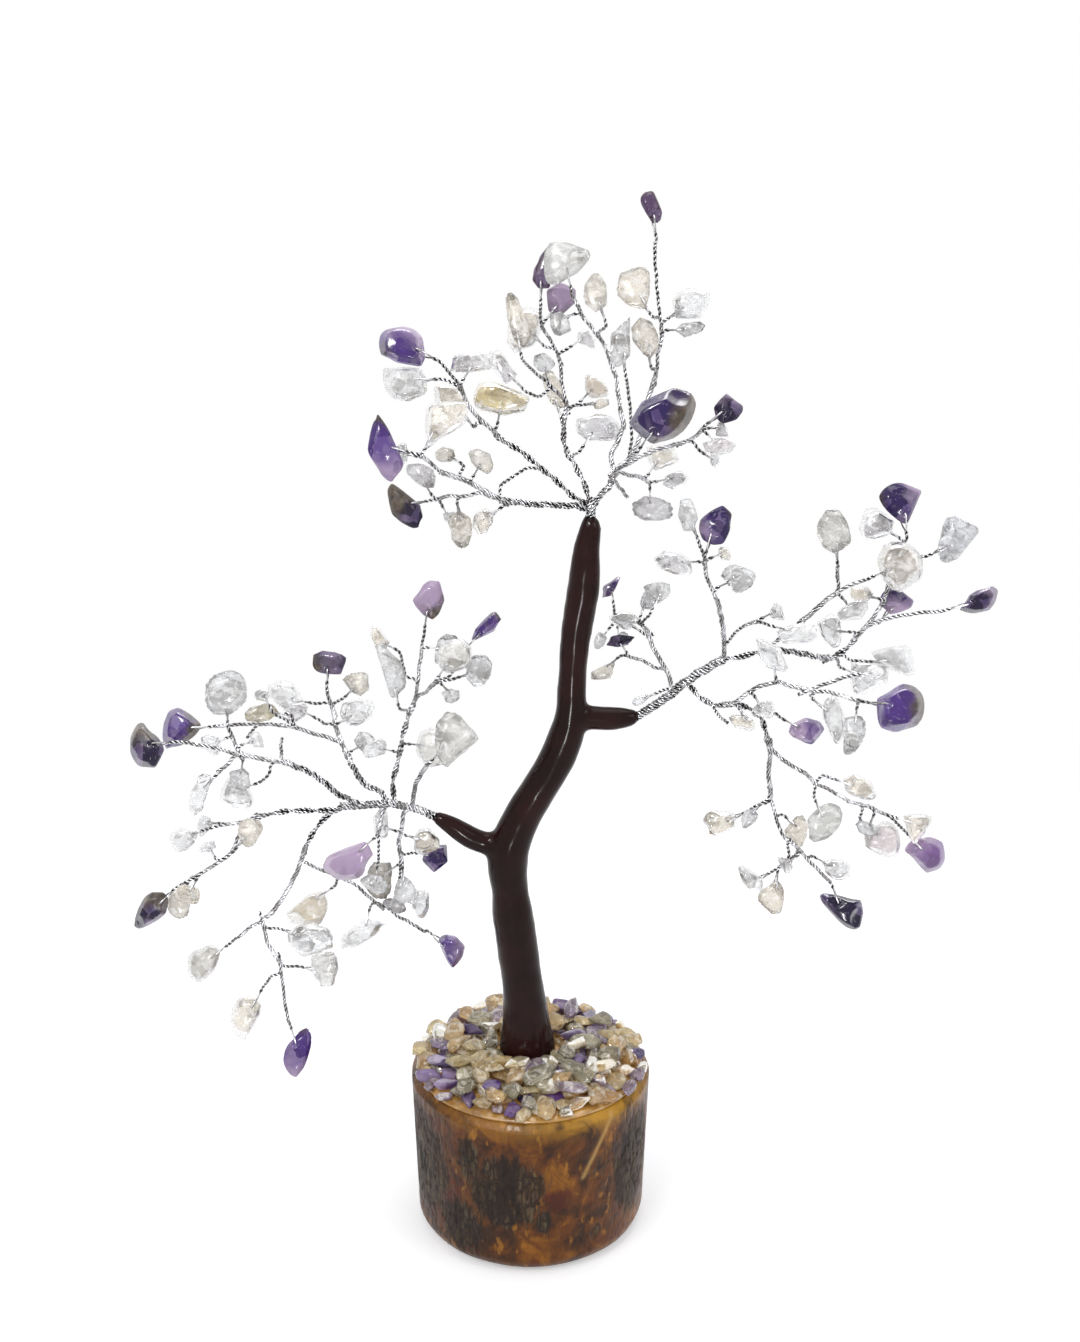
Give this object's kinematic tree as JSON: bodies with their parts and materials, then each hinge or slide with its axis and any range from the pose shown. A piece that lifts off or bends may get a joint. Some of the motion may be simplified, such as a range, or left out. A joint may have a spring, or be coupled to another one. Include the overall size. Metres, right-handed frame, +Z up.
{
  "type": "gemstone tree ornament",
  "caption": "Small ornamental tree of tumbled violet and clear chip stones on twisted silver wire, with a lacquered trunk in a varnished log base topped with chips.",
  "frame": {"origin": "centre of the log base's flat underside", "axes": "+X to the right as seen from the front, +Y away from the viewer, +Z up the tree"},
  "size_m": [0.1815, 0.0548, 0.2302],
  "materials": {
    "log": "log slice with its bark, under glossy varnish",
    "glue": "clear amber glue, glossy",
    "lacquer": "dark brown lacquer over wrapped wire, lumpy and glossy",
    "wire": "silver-plated twisted wire",
    "quartz": "clear tumbled quartz with veils",
    "amethyst": "violet tumbled amethyst"
  },
  "bodies": {
    "stand": {"wood_base": "log", "glue_bed": "glue", "base_chips_quartz": "quartz", "base_chips_amethyst": "amethyst", "core_top": "wire", "core_left": "wire", "core_right": "wire", "trunk_coating": "lacquer"},
    "top_limb": {"top_a_quartz": "quartz", "top_a_wires": "wire", "top_amethysts": "amethyst", "top_b_quartz": "quartz", "top_b_wires": "wire", "top_bundle": "wire", "top_c_quartz": "quartz", "top_c_wires": "wire", "top_d_quartz": "quartz", "top_d_wires": "wire", "top_e_quartz": "quartz", "top_e_wires": "wire", "top_f_wires": "wire", "top_g_quartz": "quartz", "top_g_wires": "wire", "top_h_quartz": "quartz", "top_h_wires": "wire", "top_wire_eyes": "wire"},
    "left_limb": {"left_a_quartz": "quartz", "left_a_wires": "wire", "left_amethysts": "amethyst", "left_b_quartz": "quartz", "left_b_wires": "wire", "left_bundle": "wire", "left_c_quartz": "quartz", "left_c_wires": "wire", "left_d_quartz": "quartz", "left_d_wires": "wire", "left_e_quartz": "quartz", "left_e_wires": "wire", "left_f_quartz": "quartz", "left_f_wires": "wire", "left_wire_eyes": "wire"},
    "right_limb": {"right_a_quartz": "quartz", "right_a_wires": "wire", "right_amethysts": "amethyst", "right_b_quartz": "quartz", "right_b_wires": "wire", "right_bundle": "wire", "right_c_quartz": "quartz", "right_c_wires": "wire", "right_d_quartz": "quartz", "right_d_wires": "wire", "right_e_quartz": "quartz", "right_e_wires": "wire", "right_f_quartz": "quartz", "right_f_wires": "wire", "right_wire_eyes": "wire"}
  },
  "joints": [
    {"name": "top_bend", "type": "hinge", "parent": "stand", "child": "top_limb", "pos_m": [0.01277, 0, 0.16689], "axis": [0, 1, 0], "range_deg": [-14, 14]},
    {"name": "left_bend", "type": "hinge", "parent": "stand", "child": "left_limb", "pos_m": [-0.02203, -0.00012, 0.09928], "axis": [0, 1, 0], "range_deg": [-14, 14]},
    {"name": "right_bend", "type": "hinge", "parent": "stand", "child": "right_limb", "pos_m": [0.02441, -0.00018, 0.12262], "axis": [0, 1, 0], "range_deg": [-14, 14]}
  ]
}
